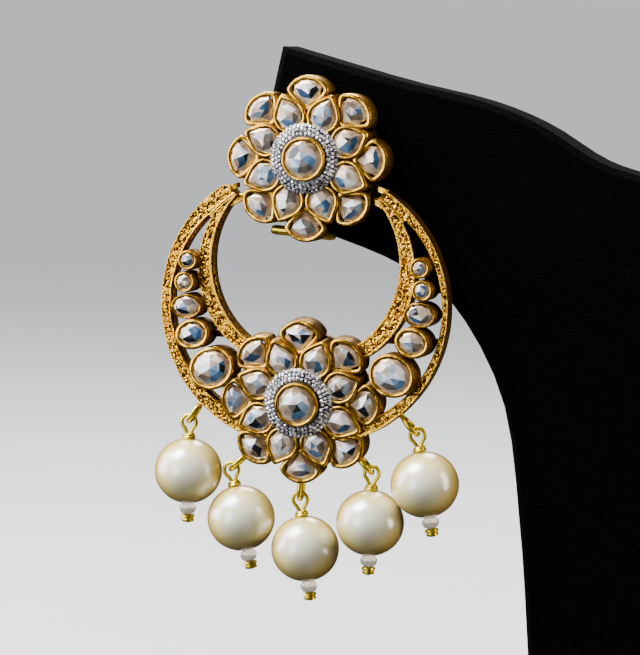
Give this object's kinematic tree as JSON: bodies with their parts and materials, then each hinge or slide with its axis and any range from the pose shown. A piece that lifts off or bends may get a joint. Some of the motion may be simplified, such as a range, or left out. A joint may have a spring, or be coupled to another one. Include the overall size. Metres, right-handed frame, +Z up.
{
  "type": "chandbali earring on a display stand",
  "caption": "Crescent drop earring with two jewelled flowers, graduated stones and hanging pearls, hung by its ear post on the arm of a plain black velvet display board.",
  "frame": {"origin": "middle of the foot's underside, on the surface the stand stands on", "axes": "+Z up, the earring's front faces -Y, +X to the viewer's right"},
  "size_m": [0.0936, 0.048, 0.1046],
  "materials": {
    "gold": "gold-plated cast brass, hammered bands and bright rims",
    "silver": "rhodium-plated, set with tiny clear stones",
    "stone": "rose-cut glass over silver foil",
    "pearl": "cream pearl lacquer on a shell bead",
    "velvet": "black velvet over board"
  },
  "bodies": {
    "stand": {"display_stand": "velvet", "stud_setting": "gold", "stud_petal_stone_1": "stone", "stud_petal_stone_2": "stone", "stud_petal_stone_3": "stone", "stud_petal_stone_4": "stone", "stud_petal_stone_5": "stone", "stud_petal_stone_6": "stone", "stud_petal_stone_7": "stone", "stud_petal_stone_8": "stone", "stud_pave_ring": "silver", "stud_middle_stone": "stone"},
    "crescent": {"crescent_frame": "gold", "flower_petal_stone_1": "stone", "flower_petal_stone_2": "stone", "flower_petal_stone_3": "stone", "flower_petal_stone_4": "stone", "flower_petal_stone_5": "stone", "flower_petal_stone_6": "stone", "flower_petal_stone_7": "stone", "flower_petal_stone_8": "stone", "flower_pave_ring": "silver", "flower_middle_stone": "stone", "arm_stone_left": "stone", "arm_stone_right": "stone", "pearl_left_outer": "pearl", "pearl_left_inner": "pearl", "pearl_middle": "pearl", "pearl_right_inner": "pearl", "pearl_right_outer": "pearl", "drop_pin_left_outer": "gold", "drop_pin_left_inner": "gold", "drop_pin_middle": "gold", "drop_pin_right_inner": "gold", "drop_pin_right_outer": "gold"}
  },
  "joints": [
    {"name": "crescent_swing", "type": "hinge", "parent": "stand", "child": "crescent", "pos_m": [-0.036, -0.00605, 0.0848], "axis": [-1, 0, 0], "range_deg": [0, 45]}
  ]
}
